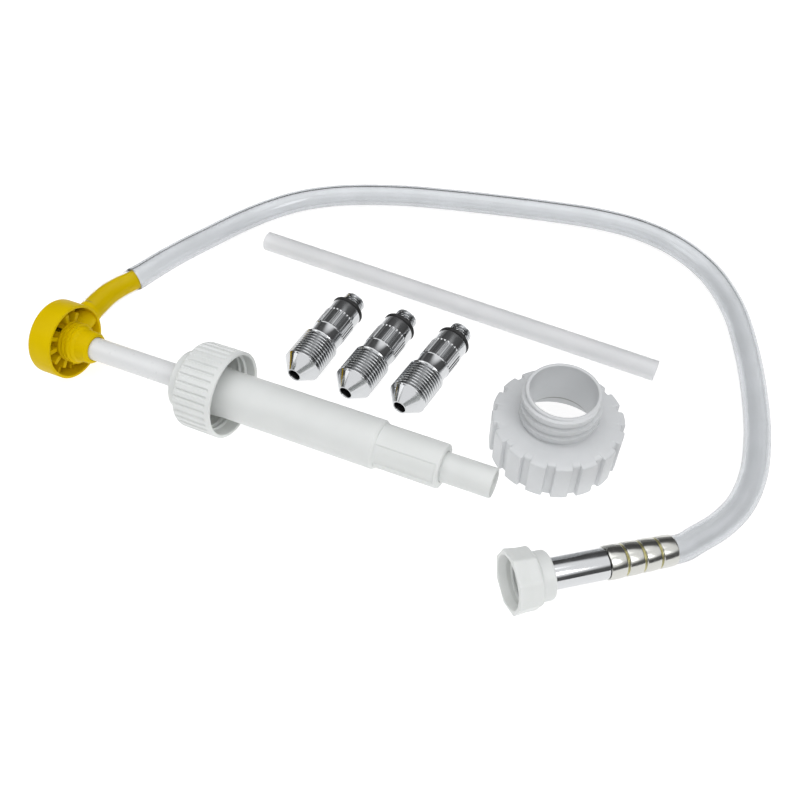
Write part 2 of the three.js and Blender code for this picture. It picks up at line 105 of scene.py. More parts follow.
# %% [markdown]
# The camera stands in front and to the right, looking down at the layout from fairly high. A lens of
# about 40 mm keeps the perspective natural for a group of things this wide.

# %% Camera
AIM = Vector((29.2, -7.0, 0)) * MM
AZIMUTH = math.radians(24)
ELEVATION = math.radians(49.5)
DISTANCE = 446.7 * MM

camera_data = bpy.data.cameras.new("camera")
camera_data.lens = 39.6
camera_data.sensor_width = 36
camera_data.clip_start = 0.01
camera = bpy.data.objects.new("camera", camera_data)
bpy.context.scene.collection.objects.link(camera)
away = Vector((
    math.sin(AZIMUTH) * math.cos(ELEVATION),
    -math.cos(AZIMUTH) * math.cos(ELEVATION),
    math.sin(ELEVATION),
))
camera.location = AIM + away * DISTANCE
camera.rotation_euler = (-away).to_track_quat("-Z", "Y").to_euler()
bpy.context.scene.camera = camera
print("camera at", [round(v, 3) for v in camera.location])

# %% [markdown]
# A surface here is a row of rings. Spinning an outline gives rings, and so does carrying a circle
# along a bent line, so one function skins both. A ring of a single point is a pole, where a solid
# piece closes on its axis. Only edges that really turn sharply are marked sharp, so the light runs
# smoothly over the rest.

# %% Skinning rings
SHARP = math.radians(38)


def skin(name, rings, place=None, loop=True, marks=None):
    """A closed mesh through rings of points; marks holds a number for each point, kept as cut_depth."""
    starts = [0]
    for ring in rings:
        starts.append(starts[-1] + len(ring))
    pairs = [(i, i + 1) for i in range(len(rings) - 1)]
    if loop:
        pairs.append((len(rings) - 1, 0))
    faces = []
    for a, b in pairs:
        count_a, count_b = len(rings[a]), len(rings[b])
        count = max(count_a, count_b)
        for j in range(count):
            k = (j + 1) % count
            corners = [
                starts[a] + j % count_a,
                starts[a] + k % count_a,
                starts[b] + k % count_b,
                starts[b] + j % count_b,
            ]
            faces.append(list(dict.fromkeys(corners)))
    mesh = bpy.data.meshes.new(name)
    mesh.from_pydata([tuple(point) for ring in rings for point in ring], [], faces)
    depth = mesh.attributes.new("cut_depth", "FLOAT", "POINT")
    if marks:
        depth.data.foreach_set("value", [mark for ring in marks for mark in ring])
    mesh.shade_smooth()
    mesh.set_sharp_from_angle(angle=SHARP)
    piece = bpy.data.objects.new(name, mesh)
    bpy.context.scene.collection.objects.link(piece)
    if place is not None:
        piece.matrix_world = place
    return piece


# %% [markdown]
# Outlines are lists of corners, each with its station along the axis, its radius and the size of its
# fillet, all in millimetres. Moulded and machined edges are never perfectly sharp, and it is the small
# fillets that catch the light. Where a thread, a knurl or a row of flutes is cut, the outline gets
# more stations, and a tool moves each point in or out. Real cuts cost more points than a bump map,
# but they change the silhouette, as they do on the real thing.

# %% Outlines and turning
FILLET_STEPS = 4
PAINTED_SHADE_DEPTH = 2.0  # a mark deep enough for the plated finishes to paint the full dark there, as painted shade


def rounded(corners, loop=True):
    """The outline through corners (station, radius, fillet), with the fillets drawn as curves."""
    outline = []
    for i, (x, r, *fillet) in enumerate(corners):
        at_end = not loop and i in (0, len(corners) - 1)
        if not fillet or at_end:
            outline.append((x, r))
            continue
        corner = Vector((x, r))
        before = Vector(corners[i - 1][:2]) - corner
        after = Vector(corners[(i + 1) % len(corners)][:2]) - corner
        half = before.angle(after) / 2
        reach = min(fillet[0] / math.tan(half), 0.45 * before.length, 0.45 * after.length)
        first = corner + before.normalized() * reach
        last = corner + after.normalized() * reach
        for step in range(FILLET_STEPS + 1):
            t = step / FILLET_STEPS
            point = first * (1 - t) ** 2 + corner * 2 * t * (1 - t) + last * t * t
            outline.append((point.x, point.y))
    return outline


def dense(outline, start, end, step, inner=0.0, outer=math.inf):
    """The outline with a station every step between start and end, on walls between two radii."""
    result = []
    for (x0, r0), (x1, r1) in zip(outline, outline[1:]):
        result.append((x0, r0))
        on_wall = min(r0, r1) >= inner and max(r0, r1) <= outer and abs(x1 - x0) > step
        low, high = max(start, min(x0, x1)), min(end, max(x0, x1))
        if not on_wall or high <= low:
            continue
        count = math.ceil((high - low) / step)
        stations = [low + (high - low) * i / count for i in range(count + 1)]
        if x1 < x0:
            stations.reverse()
        for x in stations:
            if min(x0, x1) < x < max(x0, x1):
                result.append((x, r0 + (r1 - r0) * (x - x0) / (x1 - x0)))
    result.append(outline[-1])
    return result


def turned(name, place, outline, sides=96, tool=None, loop=True, painted_shade_radius=0.0):
    """Spins an outline in millimetres round local X. tool(angle, station, radius) gives the cut
    radius. Walls inside the given shade radius are marked as deep, so that a plated finish paints them dark as
    painted shade."""
    rings, marks = [], []
    for x, r in outline:
        if r < 1e-6:
            rings.append([(x * MM, 0, 0)])
            marks.append([0.0])
            continue
        ring, depths = [], []
        for j in range(sides):
            angle = TURN * j / sides
            radius = tool(angle, x, r) if tool else r
            ring.append((x * MM, radius * math.cos(angle) * MM, radius * math.sin(angle) * MM))
            # walls inside the shade radius get the full mark, which paints shade inside the bore
            depths.append(PAINTED_SHADE_DEPTH if r < painted_shade_radius else r - radius)
        rings.append(ring)
        marks.append(depths)
    return skin(name, rings, place, loop, marks)


# %% [markdown]
# The cutting tools are small functions. A smooth step keeps every run-out soft, a wave measures how
# far an angle is from the middle of the nearest tooth, and a screw thread is the same wave carried
# along the axis as it turns, which makes it a true right-handed helix.

# %% Cutting tools
def smooth(low, high, value):
    t = min(1.0, max(0.0, (value - low) / (high - low)))
    return t * t * (3 - 2 * t)


def between(start, end, run, value):
    """1 from start to end, falling softly to 0 over a run at both ends."""
    rise = smooth(start - run / 2, start + run / 2, value)
    return rise * (1 - smooth(end - run / 2, end + run / 2, value))


def tooth(angle, count, offset=0.0):
    """How far an angle is from the nearest tooth's middle: 0 there, 1 half-way to the next."""
    phase = (angle * count / TURN + offset) % 1.0
    return abs(phase - 0.5) * 2


def cut_thread(start, end, pitch, depth, flat=0.2, inner=0.0):
    """A thread cut into a blank of its crest's radius."""
    def tool(angle, x, r):
        if r < inner or not start <= x <= end:
            return r
        phase = ((x - start) / pitch - angle / TURN) % 1.0
        valley = 1 - smooth(flat, 1 - flat, abs(phase - 0.5) * 2)
        fade = smooth(start, start + pitch * 0.8, x) * (1 - smooth(end - pitch * 0.8, end, x))
        return r - depth * valley * fade
    return tool


def raised_thread(start, end, pitch, height, width, inner=0.0, outer=math.inf, flank=0.3):
    """A moulded thread that stands on a plain wall; a negative height makes one inside a bore. It
    fades out over its last turn, so the end is given one turn past the last full one."""
    def tool(angle, x, r):
        if not inner <= r <= outer:
            return r
        turn = (x - start) / pitch - angle / TURN
        turns = (end - start) / pitch
        nearest = min(max(round(turn), 0), int(turns) - 1)
        far = abs(turn - nearest) * pitch
        run = nearest + angle / TURN
        fade = smooth(0, 0.12, run) * (1 - smooth(turns - 1.12, turns - 1, run))
        return r + height * fade * (1 - smooth(width * (0.55 - flank), width * 0.55, far))
    return tool


# %% [markdown]
# A hose and a spout are a circle carried along a line. The line is a smooth curve through
# a few chosen points, and the circle is turned as little as possible from step to step, so the tube
# doesn't twist. Each tube here is hollow, because a clear hose gets its look from its two walls.

# %% Bent tubes
def smooth_line(points, step):
    """Points every step or so along the centripetal curve through points."""
    points = [Vector(p) for p in points]
    points = [points[0] * 2 - points[1], *points, points[-1] * 2 - points[-2]]
    line = []
    for p0, p1, p2, p3 in zip(points, points[1:], points[2:], points[3:]):
        t1 = (p1 - p0).length ** 0.5
        t2 = t1 + (p2 - p1).length ** 0.5
        t3 = t2 + (p3 - p2).length ** 0.5
        count = max(2, round((p2 - p1).length / step))
        for i in range(count):
            t = t1 + (t2 - t1) * i / count
            a1 = p0.lerp(p1, t / t1)
            a2 = p1.lerp(p2, (t - t1) / (t2 - t1))
            a3 = p2.lerp(p3, (t - t2) / (t3 - t2))
            b1 = a1.lerp(a2, t / t2)
            b2 = a2.lerp(a3, (t - t1) / (t3 - t1))
            line.append(b1.lerp(b2, (t - t1) / (t2 - t1)))
    return [*line, points[-2]]


def length_of(line):
    return sum((b - a).length for a, b in zip(line, line[1:]))


def swept(name, line, outer, bore, sides=40, mark=lambda s: 0.0):
    """A hollow tube along a line. outer, bore and mark depend on the distance from its start. The
    bore's wall is marked 1 less than the outer wall."""
    neighbours = zip([line[0], *line], [*line[1:], line[-1]])
    tangents = [(after - before).normalized() for before, after in neighbours]
    normal = tangents[0].orthogonal().normalized()
    walls = [[], []]
    marks = []
    distance = 0.0
    for i, (point, tangent) in enumerate(zip(line, tangents)):
        distance += (point - line[i - 1]).length if i else 0.0
        normal = (normal - tangent * normal.dot(tangent)).normalized()
        side = tangent.cross(normal)
        marks.append([mark(distance)] * sides)
        for wall, radius in zip(walls, (outer(distance), bore(distance))):
            ring = []
            for j in range(sides):
                angle = TURN * j / sides
                ring.append(point + (normal * math.cos(angle) + side * math.sin(angle)) * radius)
            wall.append(ring)
    bore_marks = [[value - 1 for value in ring] for ring in reversed(marks)]
    return skin(name, [*walls[0], *reversed(walls[1])], marks=[*marks, *bore_marks])


# %% [markdown]
# The hose comes first, because its route fixes how far the whole layout spreads. It slips over the
# head's spout, comes down to the floor under its own weight and lies there in one wide open loop, as
# stiff PVC does, until it goes into the crimped ferrule. It is 12.5 mm thick outside with a bore of
# 9.6 mm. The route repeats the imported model's, in metres, from the same origin.

# %% Clear hose
HOSE_RADIUS = 6.25 * MM
HOSE_BORE = 4.8 * MM
PUMP_ON_ROUTE = Vector((-0.0658, -0.0468, 0.022))  # the collar's rim, in the route's own figures
ROUTE_ORIGIN = pump_origin - PUMP_ON_ROUTE
ROUTE = [
    (-0.166, -0.025, 0.0198),
    (-0.1658, -0.017, 0.0199),
    (-0.1651, -0.0095, 0.0198),
    (-0.1628, -0.002, 0.0197),
    (-0.1596, 0.006, 0.0194),
    (-0.1573, 0.0145, 0.0189),
    (-0.1553, 0.026, 0.0174),
    (-0.1529, 0.042, 0.0142),
    (-0.1486, 0.063, 0.01),
    (-0.142, 0.084, 0.0074),
    (-0.1324, 0.102, 0.0066),
    (-0.1196, 0.1175, 0.00655),
    (-0.1, 0.1322, 0.00655),
    (-0.066, 0.1474, 0.00655),
    (-0.036, 0.1562, 0.00655),
    (-0.006, 0.1636, 0.00655),
    (0.024, 0.1702, 0.00655),
    (0.052, 0.175, 0.00655),
    (0.078, 0.1752, 0.00655),
    (0.102, 0.1685, 0.00655),
    (0.124, 0.1532, 0.00655),
    (0.1414, 0.1294, 0.00655),
    (0.1538, 0.1, 0.00655),
    (0.1634, 0.068, 0.00655),
    (0.1688, 0.042, 0.00655),
    (0.1706, 0.02, 0.00655),
    (0.168, 0.0005, 0.0066),
    (0.1616, -0.0145, 0.0068),
    (0.1536, -0.0264, 0.0073),
]
route = [Vector(point) + ROUTE_ORIGIN for point in ROUTE]
route += [ferrule_mouth - FITTING_AXIS * 5 * MM, ferrule_mouth + FITTING_AXIS * 1.5 * MM]
hose_line = smooth_line(route, 2 * MM)

# The spout widens the hose's first stretch. Distances are in metres from the spout's inner end.
SPOUT_LENGTH = 49.6 * MM
HOSE_START = 18.9 * MM


def spout_radius(distance):
    root = 1 - smooth(18.6 * MM, 19.6 * MM, distance)
    taper = smooth(19 * MM, SPOUT_LENGTH, distance)
    return (5.75 + 0.35 * root - 0.55 * taper) * MM


def hose_bore(distance):
    along = distance + HOSE_START
    gripping = spout_radius(along) - 0.12 * MM
    return gripping + (HOSE_BORE - gripping) * smooth(SPOUT_LENGTH, SPOUT_LENGTH + 7 * MM, along)


def hose_outer(distance):
    along = distance + HOSE_START
    stretch = 0.5 * (1 - smooth(SPOUT_LENGTH - 20 * MM, SPOUT_LENGTH + 12 * MM, along))
    return HOSE_RADIUS + (stretch - 0.55 * (1 - smooth(0, 2 * MM, distance))) * MM


def hose_wetness(distance):
    """How closely the hose lies on the spout, which decides how plainly the yellow shows through."""
    along = distance + HOSE_START
    return 1 - smooth(SPOUT_LENGTH - 0.5 * MM, SPOUT_LENGTH + 0.5 * MM, along)


hose = swept("hose", hose_line, hose_outer, hose_bore, sides=48, mark=hose_wetness)
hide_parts("hose_tube")
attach(hose, "plunger")
print("hose length", round(length_of(hose_line), 4), "m in", len(hose_line), "rings")

# %% [markdown]
# Pieces that ride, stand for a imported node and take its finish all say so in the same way, so one
# short function does it for the pieces that follow.

# %% Putting a piece in place
made = {"hose_tube": hose}


def stands_for(piece, node, body):
    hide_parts(node)
    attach(piece, body)
    made[node] = piece
    print(piece.name, len(piece.data.polygons), "faces, rides on", body)
    return piece


# %% [markdown]
# The ferrule is a steel sleeve crimped over the hose in four bands. Each band is a shallow barrel
# shape, the swaging dies leave a groove between bands, and the sleeve narrows a little towards the
# hose. The crimp is never quite round, so the tool adds a trace of out-of-roundness to every band.

# %% Crimped ferrule
FERRULE_LENGTH = 32
BAND = FERRULE_LENGTH / 4
FERRULE_GROOVE = 0.85
NO_GROOVE = 9.0  # a distance that is too far from any groove to be cut


def ferrule_radius(x):
    return 6.8 + 0.6 * x / FERRULE_LENGTH


ferrule_corners = [(0.0, 5.98), (0.0, ferrule_radius(0) - 0.35, 0.25)]
ferrule_corners += [(0.5, ferrule_radius(0.5), 0.4)]
ferrule_corners += [(FERRULE_LENGTH - 0.35, ferrule_radius(FERRULE_LENGTH), 0.3)]
ferrule_corners += [(FERRULE_LENGTH, ferrule_radius(FERRULE_LENGTH) - 0.3, 0.1), (FERRULE_LENGTH, 6.75)]
ferrule_corners += [(FERRULE_LENGTH - 1.2, 6.7), (FERRULE_LENGTH - 1.2, 5.98)]


def swage(angle, x, r):
    if r < 6.8 or x < 0.6 or x > FERRULE_LENGTH - 0.5:
        return r
    band = int(min(3, x // BAND))
    along = x - band * BAND
    near = min(along if band else NO_GROOVE, BAND - along if band < 3 else NO_GROOVE)
    groove = FERRULE_GROOVE * (1 - smooth(0.1, 0.85, near))
    out_of_round = 0.05 * math.sin(2 * angle + band * 1.3) + 0.035 * math.sin(8 * angle + band)
    crown = 0.22 * math.sin(math.pi * along / BAND)
    return r - groove + out_of_round + crown


ferrule_outline = dense(rounded(ferrule_corners), 0.5, FERRULE_LENGTH - 0.4, 0.2, inner=6.8)
ferrule = turned("crimped_ferrule", FITTING, ferrule_outline, 96, swage)
stands_for(ferrule, "hose_ferrule", "plunger")

# %% [markdown]
# The pipe is turned steel: a tail that the hose grips inside the ferrule, a plain chromed body, and a
# flange at its far end that keeps the union nut on. Only the body shows.

# %% Chromed pipe
PIPE_RADIUS = 6.9
PIPE_FLANGE = (60.6, 62.8, 8.6)
pipe_corners = [
    (2.5, 3.0),
    (2.5, 4.0, 0.2),
    (3.5, 4.4),
    (32.3, 4.4),
    (32.3, PIPE_RADIUS, 0.3),
    (PIPE_FLANGE[0], PIPE_RADIUS),
    (PIPE_FLANGE[0], PIPE_FLANGE[2], 0.3),
    (PIPE_FLANGE[1], PIPE_FLANGE[2], 0.3),
    (PIPE_FLANGE[1], 3.0, 0.3),
]
pipe = turned("chromed_pipe", FITTING, rounded(pipe_corners), 96)
stands_for(pipe, "fitting_pipe", "plunger")

# %% [markdown]
# The union nut is moulded: a round ring behind and an eight-sided grip in front, whose faces are a
# little hollow and whose corners are soft. Turning it with a radius that depends on the angle gives
# the eight sides and keeps one clean surface. Its mouth opens wide in front of the thread.

# %% Union nut
NUT_BACK, NUT_GRIP, NUT_FRONT = 58.0, 64.6, 75.8
NUT_CORNER = 14.4
NUT_SIDES = 8
NUT_LEAN = 0.367  # the part of a side by which the grip is turned from lying flat
NUT_HOLE = PIPE_RADIUS + 0.08
nut_corners = [
    (NUT_BACK, NUT_HOLE),
    (NUT_BACK, 10.7, 1.3),
    (NUT_GRIP - 0.6, 10.7, 0.6),
    (NUT_GRIP + 0.3, NUT_CORNER - 0.7, 1.7),
    (NUT_GRIP + 5.5, NUT_CORNER - 0.7, 8.0),
    (NUT_FRONT, NUT_CORNER, 0.8),
    (NUT_FRONT, 11.7, 0.45),
    (NUT_FRONT - 3.4, 10.35, 0.5),
    (65.0, 10.3),
    (65.0, 9.2),
    (60.3, 9.2),
    (60.3, NUT_HOLE),
]
nut_thread = raised_thread(65.6, 72.2, 1.6, -0.7, 1.3, inner=10.25, outer=10.4)


def nut_tool(angle, x, r):
    if r < 10.41:
        return nut_thread(angle, x, r)
    behind_grip = x <= NUT_GRIP - 0.5
    in_mouth = r < 12.2 and x > NUT_FRONT - 4
    if r <= 11.0 or behind_grip or in_mouth:
        return r
    off = tooth(angle, NUT_SIDES, NUT_LEAN) * math.pi / NUT_SIDES
    flat = math.cos(math.pi / NUT_SIDES) / math.cos(math.pi / NUT_SIDES - off)
    soft = 1.0 - 0.012 * (1 - smooth(0.0, 0.04, off))
    grip = smooth(11.0, NUT_CORNER - 0.9, r)
    return r * (1 + (flat * soft - 1) * grip)


nut_outline = dense(rounded(nut_corners), NUT_GRIP, NUT_FRONT, 0.3, inner=10)
nut = turned("eight_sided_union_nut", FITTING, nut_outline, 192, nut_tool)
stands_for(nut, "union_nut", "nut")

# %% [markdown]
# The flat seals are short turned rings with soft edges. They differ only in size and place, so a small
# list holds them. The O-rings on the filler adapters are round in section and come later.

# %% Flat seals and the rod's guide
FLAT_RINGS = [
    # name, node, body, place, start, end, inner radius, outer radius
    ("nut_seal", "nut_washer", "plunger", FITTING, 63.1, 64.7, 3.6, 8.9),
    ("bottle_seal", "bottle_gasket", "barrel", PUMP, -15.9, -14.2, 12.9, 17.8),
    ("rod_wiper", "rod_seal", "barrel", PUMP, -15.5, -13.5, 5.95, 8.45),
    ("cavity_seal", "adapter_gasket", "plunger", RING, 15.7, 17.2, 16.6, 27.1),
]
for name, node, body, place, start, end, inner, outer in FLAT_RINGS:
    corners = [(start, inner, 0.2), (start, outer, 0.2), (end, outer, 0.2), (end, inner, 0.2)]
    seal = turned(name, place, rounded(corners), 96)
    stands_for(seal, node, body)

guide_corners = [
    (-18.4, 8.75, 0.3),
    (-18.4, 11.2, 0.2),
    (-16.2, 11.2),
    (-16.2, 9.6),
    (-10.2, 9.6, 0.3),
    (-10.2, 6.0, 0.3),
    (-13.2, 6.0),
    (-13.2, 8.75),
]
guide = turned("rod_guide_bush", PUMP, rounded(guide_corners), 96)
stands_for(guide, "rod_guide", "barrel")

# %% [markdown]
# The rod is a plain drawn tube. It runs from deep in the head's boss to the piston.

# %% Piston rod
ROD_RADIUS = 5.85
rod_corners = [
    (-95.3, 2.6),
    (-95.3, ROD_RADIUS, 0.4),
    (-10.0, ROD_RADIUS, 0.3),
    (-10.0, 4.0),
    (-36.5, 4.0),
    (-36.5, 2.6),
]
rod = turned("white_rod", PUMP, rounded(rod_corners), 96)
stands_for(rod, "piston_rod", "plunger")

# %% [markdown]
# The return spring is a coil of round wire between the piston's stem and the valve cage, hidden in the
# barrel. In the pump it shortens with the stroke; here it is one fixed mesh, baked in place.

# %% Return spring
SPRING_RADIUS, WIRE_RADIUS, SPRING_TURNS = 7.4, 0.54, 9
SPRING_TOP, SPRING_FOOT = 3.9, 71.1
TURN_STEPS, WIRE_SIDES = 36, 12


def wire_ring(t, radius, sides):
    """A ring round the wire, where t runs from 0 at the top to 1 at the foot."""
    angle = TURN * SPRING_TURNS * t
    outward = Vector((0, math.cos(angle), math.sin(angle)))
    station = SPRING_TOP + (SPRING_FOOT - SPRING_TOP) * t
    middle = Vector((station, 0, 0)) + outward * SPRING_RADIUS
    ring = []
    for i in range(sides):
        a = TURN * i / sides
        round_wire = outward * math.cos(a) + Vector((math.sin(a), 0, 0))
        ring.append(PUMP @ ((middle + round_wire * radius) * MM))
    return ring


wire_steps = SPRING_TURNS * TURN_STEPS
wire_rings = [wire_ring(i / wire_steps, WIRE_RADIUS, WIRE_SIDES) for i in range(wire_steps + 1)]
wire_rings = [wire_ring(0, 0, 1), *wire_rings, wire_ring(1, 0, 1)]
coil = skin("coiled_return_spring", wire_rings, loop=False)
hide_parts("return_spring")
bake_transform(coil)
made["return_spring"] = coil
print(coil.name, len(coil.data.polygons), "faces, shortens with the stroke")

# %% [markdown]
# The barrel is one moulding. It flares into its flange inside the collar, runs straight, steps down to
# a foot with two shallow panels let into it, rounds off at a shoulder and ends in the tube that holds
# the dip tube. The panels are cut by angle and station, with soft edges, as a mould makes them.

# %% Pump barrel
FOOT_START, FOOT_END = 77.4, 108.2
FOOT_RADIUS = 10.4
PANEL_TOP = math.radians(127)  # measured round the axis from +Y over the top
PANEL_BOTTOM = math.radians(184)
barrel_corners = [
    (-18.4, 11.5),
    (-18.4, 17.8, 0.3),
    (-16.2, 17.8, 0.3),
    (-16.2, 12.85, 0.5),
    (-9.0, 12.3, 4.0),
    (-2.0, 11.7, 5.0),
    (FOOT_START - 1.2, 11.65, 0.5),
    (FOOT_START, 10.9, 0.3),
    (FOOT_START + 0.25, FOOT_RADIUS, 0.25),
    (FOOT_END, FOOT_RADIUS, 2.1),
    (FOOT_END, 7.4, 0.2),
    (FOOT_END - 0.5, 7.2),
    (FOOT_END - 0.5, 6.95),
    (131.5, 6.95, 0.6),
    (131.5, 5.8, 0.5),
    (106, 5.8),
    (106, 2.4),
    (84.2, 2.4),
    (82, 4.6),
    (74.3, 4.6),
    (74.3, 9.9),
    (-15.9, 9.9),
    (-15.9, 11.5),
]


def foot_panels(angle, x, r):
    if r < 8.8 or x < FOOT_START + 0.2 or x > FOOT_END:
        return r
    depth, rib = 0.0, 0.0
    for shift in (0.0, math.pi):
        middle = (PANEL_TOP + PANEL_BOTTOM) / 2 + shift
        half = (PANEL_BOTTOM - PANEL_TOP) / 2
        off = (angle - middle + math.pi) % TURN - math.pi
        depth = max(depth, 1 - smooth(half - 0.03, half + 0.03, abs(off)))
        rib = max(rib, between(half + 0.02, half + 0.2, 0.08, off))
    along = between(FOOT_START + 0.7, FOOT_END - 1.8, 0.8, x)
    return r - 0.6 * depth * along + 0.5 * rib * along


barrel_outline = dense(rounded(barrel_corners), FOOT_START, FOOT_END, 0.4, inner=7)
barrel = turned("white_barrel", PUMP, barrel_outline, 360, foot_panels)
stands_for(barrel, "pump_barrel", "barrel")

# %% [markdown]
# The screw collar is a cap with a ring behind it. Narrow grooves are cut along its skirt and stop short
# of the rim, which stays smooth. Inside the skirt a coarse thread takes the bottle's neck, and inside
# the ring a finer one takes the head's lock thread.

# %% Screw collar
COLLAR_TOP = -21.0
COLLAR_FLUTES = 36
collar_corners = [
    (-27.5, 10.4, 0.5),
    (-27.5, 14.8, 1.3),
    (COLLAR_TOP - 0.3, 14.8, 3.0),
    (COLLAR_TOP, 21.4, 3.0),
    (-3.4, 21.5),
    (0.0, 21.5, 0.7),
    (0.0, 19.7, 0.85),
    (-18.7, 19.7, 0.4),
    (-18.7, 10.4, 0.3),
]
bottle_thread = raised_thread(-12.5, -1.2, 3.2, -0.95, 1.7, inner=19.5, outer=19.8)
lock_thread = raised_thread(-26.6, -19.6, 2.4, -0.5, 1.3, inner=10.3, outer=10.45)


def collar_tool(angle, x, r):
    if r < 10.5:
        return lock_thread(angle, x, r)
    if 19.5 < r < 19.8:
        return bottle_thread(angle, x, r)
    if r < 20.4 or x > -2.0:
        return r
    groove = smooth(0.5, 0.88, tooth(angle, COLLAR_FLUTES))
    return r - 0.8 * groove * between(COLLAR_TOP + 1.4, -2.8, 0.9, x)


collar_outline = dense(rounded(collar_corners), -26.6, 0, 0.4, inner=10.3)
collar = turned("fluted_screw_collar", PUMP, collar_outline, 576, collar_tool)
stands_for(collar, "screw_collar", "collar")

# %% [markdown]
# The dip tube is cut from straight milky polyethylene pipe. The saw leaves the ends a little out of
# square; here both ends are turned square.

# %% Dip tube
DIP_LENGTH = 233.8
DIP_HEADING = math.atan2(-9.7, 233.6)
dip_direction = Vector((math.cos(DIP_HEADING), math.sin(DIP_HEADING), 0))
DIP = place_along(centre_of("dip_tube") - dip_direction * DIP_LENGTH / 2 * MM, dip_direction)
dip_corners = [(0, 4.35), (0, 5.5, 0.2), (DIP_LENGTH, 5.5, 0.2), (DIP_LENGTH, 4.35)]
dip_outline = dense(rounded(dip_corners), 0, DIP_LENGTH, 12)
dip = turned("milky_dip_tube", DIP, dip_outline, 80)
stands_for(dip, "dip_tube", "plunger")

# %% [markdown]
# The bottle adapter is a thick ring with sixteen grip notches. Its top falls away slightly towards the
# edge and sweeps up into the threaded neck. Three turns of a rounded thread stand on the neck. The
# notches run the whole height, each with a flat floor and steep sides.

# %% Bottle adapter ring
RING_RADIUS = 31.1
RING_HEIGHT = 21.5
RING_RIM = 40.0
NECK_RADIUS = 17.3
NOTCHES = 16
ring_corners = [
    (0.0, 27.4, 0.3),
    (0.0, RING_RADIUS - 0.1, 0.5),
    (RING_HEIGHT - 0.5, RING_RADIUS, 1.0),
    (RING_HEIGHT, RING_RADIUS - 2.2, 1.0),
    (RING_HEIGHT + 0.3, 22.0, 4.0),
    (RING_HEIGHT + 0.8, NECK_RADIUS + 0.1, 1.6),
    (RING_HEIGHT + 2.0, NECK_RADIUS),
    (RING_RIM, NECK_RADIUS, 1.1),
    (RING_RIM, 15.5, 0.7),
    (17.5, 15.5, 0.3),
    (17.5, 27.4, 0.5),
]
neck_thread = raised_thread(21.6, 44.2, 5.65, 1.4, 3.1, inner=17.25, outer=17.35, flank=0.16)


def ring_tool(angle, x, r):
    if r < 17.4:
        return neck_thread(angle, x, r) if x > 18.0 else r
    if r < 27.8:
        return r
    far = tooth(angle, NOTCHES) * TURN / NOTCHES / 2 * RING_RADIUS
    notch = 1 - smooth(1.85, 2.25, far)
    return r - 1.95 * notch * smooth(27.8, 28.6, r)


ring_outline = dense(rounded(ring_corners), 23.6, 39.2, 0.2, inner=17.25, outer=17.35)
ring_outline = dense(ring_outline, 0.3, 20.0, 1.5, inner=30)
ring_outline = dense(ring_outline, 15.6, 40, 0.2, inner=26)
adapter_ring = turned("notched_adapter_ring", RING, ring_outline, 640, ring_tool)
stands_for(adapter_ring, "bottle_adapter", "plunger")

# %% [markdown]
# The three filler adapters are alike: a cone nose with the oil hole, a coarse M20 thread, a plain band,
# a straight knurl for the fingers, another band, a groove with an O-ring and a short M12 thread. One
# mesh serves all three. The O-ring's middle lies on each adapter's axis, which fixes its place.

# %% Filler adapters
FILLER_HEADINGS = (86, 84, 82)
FILLER_O_RING = 53.2
O_RING_HALF_WIDTH, O_RING_HALF_HEIGHT, O_RING_RADIUS = 1.4, 1.9, 7.1
OIL_HOLE = 3.2
KNURL = (33.0, 44.5, 28)  # start, end, number of teeth
filler_corners = [
    (1.2, 3.0),
    (0.0, 3.3, 0.2),
    (0.0, 3.9, 0.25),
    (6.6, 9.3, 0.3),
    (7.3, 10.0, 0.3),
    (25.0, 10.0, 0.3),
    (26.0, 8.6, 0.2),
    (KNURL[0] - 0.3, 8.6, 0.1),
    (KNURL[0], 8.9, 0.1),
    (KNURL[1], 8.9, 0.1),
    (KNURL[1] + 0.3, 8.6, 0.1),
    (51.7, 8.7, 0.5),
    (51.7, 5.2, 0.3),
    (54.5, 5.2),
    (54.9, 6.0, 0.1),
    (61.0, 6.0, 0.1),
    (61.5, 5.4, 0.15),
    (61.5, 3.0, 0.2),
]
coarse = cut_thread(7.3, 25.0, 1.77, 1.0, 0.15, 9.9)
fine = cut_thread(54.9, 61.0, 1.4, 0.9, 0.15, 5.9)


def filler_tool(angle, x, r):
    if r < 5.8:
        return r
    if x < 27:
        return coarse(angle, x, r)
    if x > 54:
        return fine(angle, x, r)
    if r > 8.8 and KNURL[0] <= x <= KNURL[1]:
        along = between(KNURL[0] + 0.3, KNURL[1] - 0.3, 0.4, x)
        return r - 0.45 * along * smooth(0.35, 0.85, tooth(angle, KNURL[2]))
    return r


